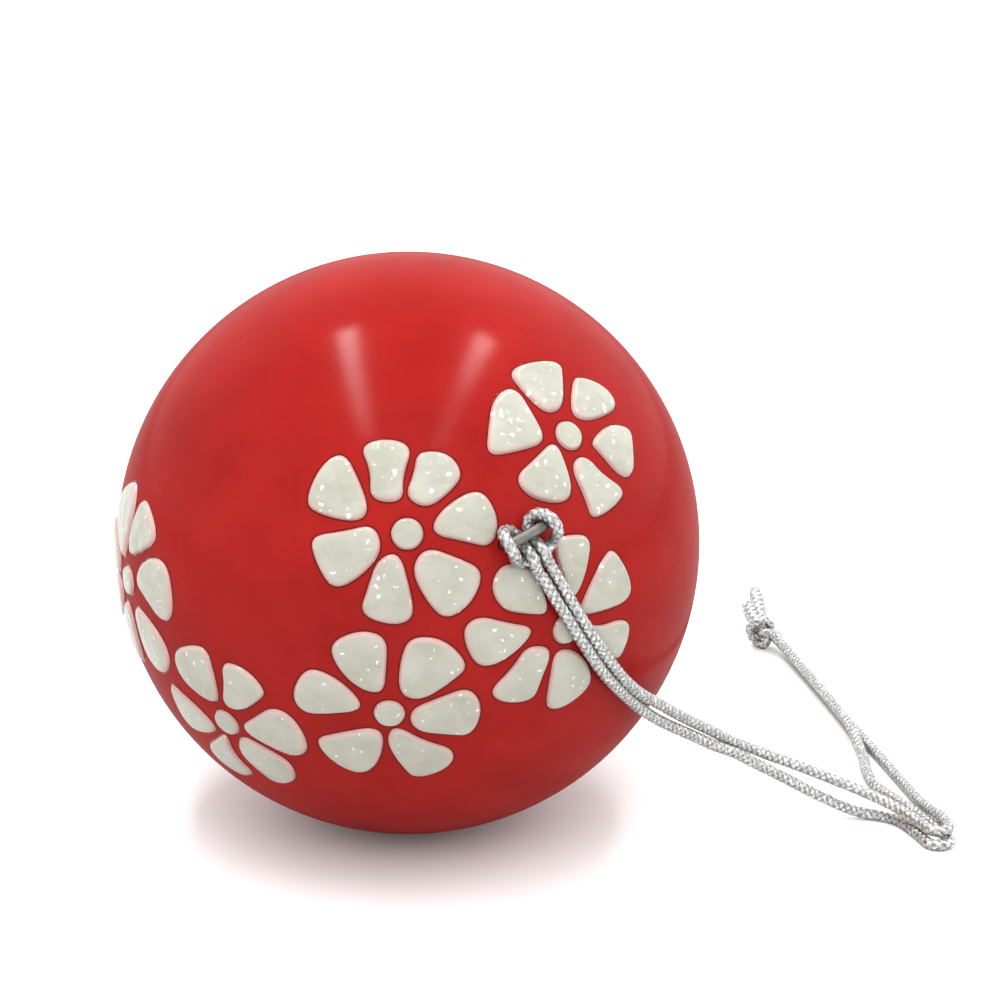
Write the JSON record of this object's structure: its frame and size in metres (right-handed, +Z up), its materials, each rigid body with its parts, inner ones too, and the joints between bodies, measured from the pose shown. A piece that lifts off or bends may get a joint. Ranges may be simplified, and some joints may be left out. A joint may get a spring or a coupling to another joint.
{
  "type": "hanging ball ornament",
  "caption": "Round lacquered ball ornament with raised enamel flowers, a wire eye and a knotted metallic cord loop for hanging, lying on a table with its loop laid beside it.",
  "frame": {"origin": "middle of the small flat spot under the ball, on the surface that it lies on", "axes": "+Z up from the surface; -Y towards the side with the wire eye and the flowers; +X towards the side where the loop lies"},
  "size_m": [0.1008, 0.0954, 0.0697],
  "materials": {
    "lacquer": "red lacquer, satin gloss",
    "enamel": "raised cream enamel, gloss",
    "wire": "dull grey wire",
    "cord": "silver metallic braid"
  },
  "bodies": {
    "root": {"ball": "lacquer", "hanging_eye": "wire", "cord_hitch": "cord", "cord_strand_upper": "cord", "cord_strand_lower": "cord", "cord_knot": "cord"}
  },
  "joints": []
}
